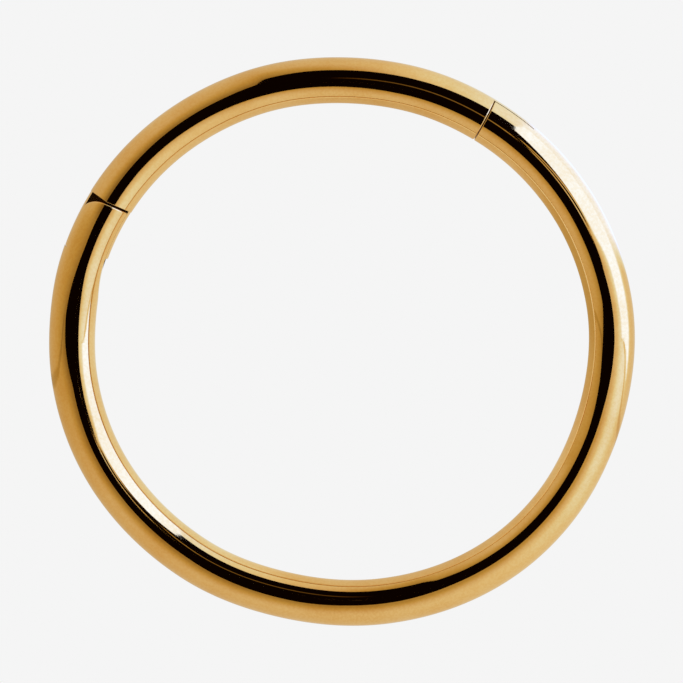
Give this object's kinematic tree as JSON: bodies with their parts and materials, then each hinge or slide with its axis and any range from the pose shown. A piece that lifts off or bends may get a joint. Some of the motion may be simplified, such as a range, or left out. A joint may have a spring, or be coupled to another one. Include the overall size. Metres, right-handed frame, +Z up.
{
  "type": "clicker ring",
  "caption": "Slightly oval body-jewellery ring of round gold wire with a hinged segment that swings outward on a pin and clicks shut.",
  "frame": {"origin": "centre of the closed ring's outline, level with the surface it lies on", "axes": "+Z up along the ring's axis, +X to the latch side and level across the picture's picture, +Y toward the hinged segment"},
  "size_m": [0.0154, 0.0148, 0.0012],
  "materials": {
    "gold": "polished",
    "pin_gold": "polished"
  },
  "bodies": {
    "ring": {"ring_body": "gold", "hinge_pin": "pin_gold"},
    "segment": {"hinged_segment": "gold"}
  },
  "joints": [
    {"name": "hinge", "type": "hinge", "parent": "ring", "child": "segment", "pos_m": [-0.00643, 0.00304, 0.0006], "axis": [0, 0, 1], "range_deg": [0, 95]}
  ]
}
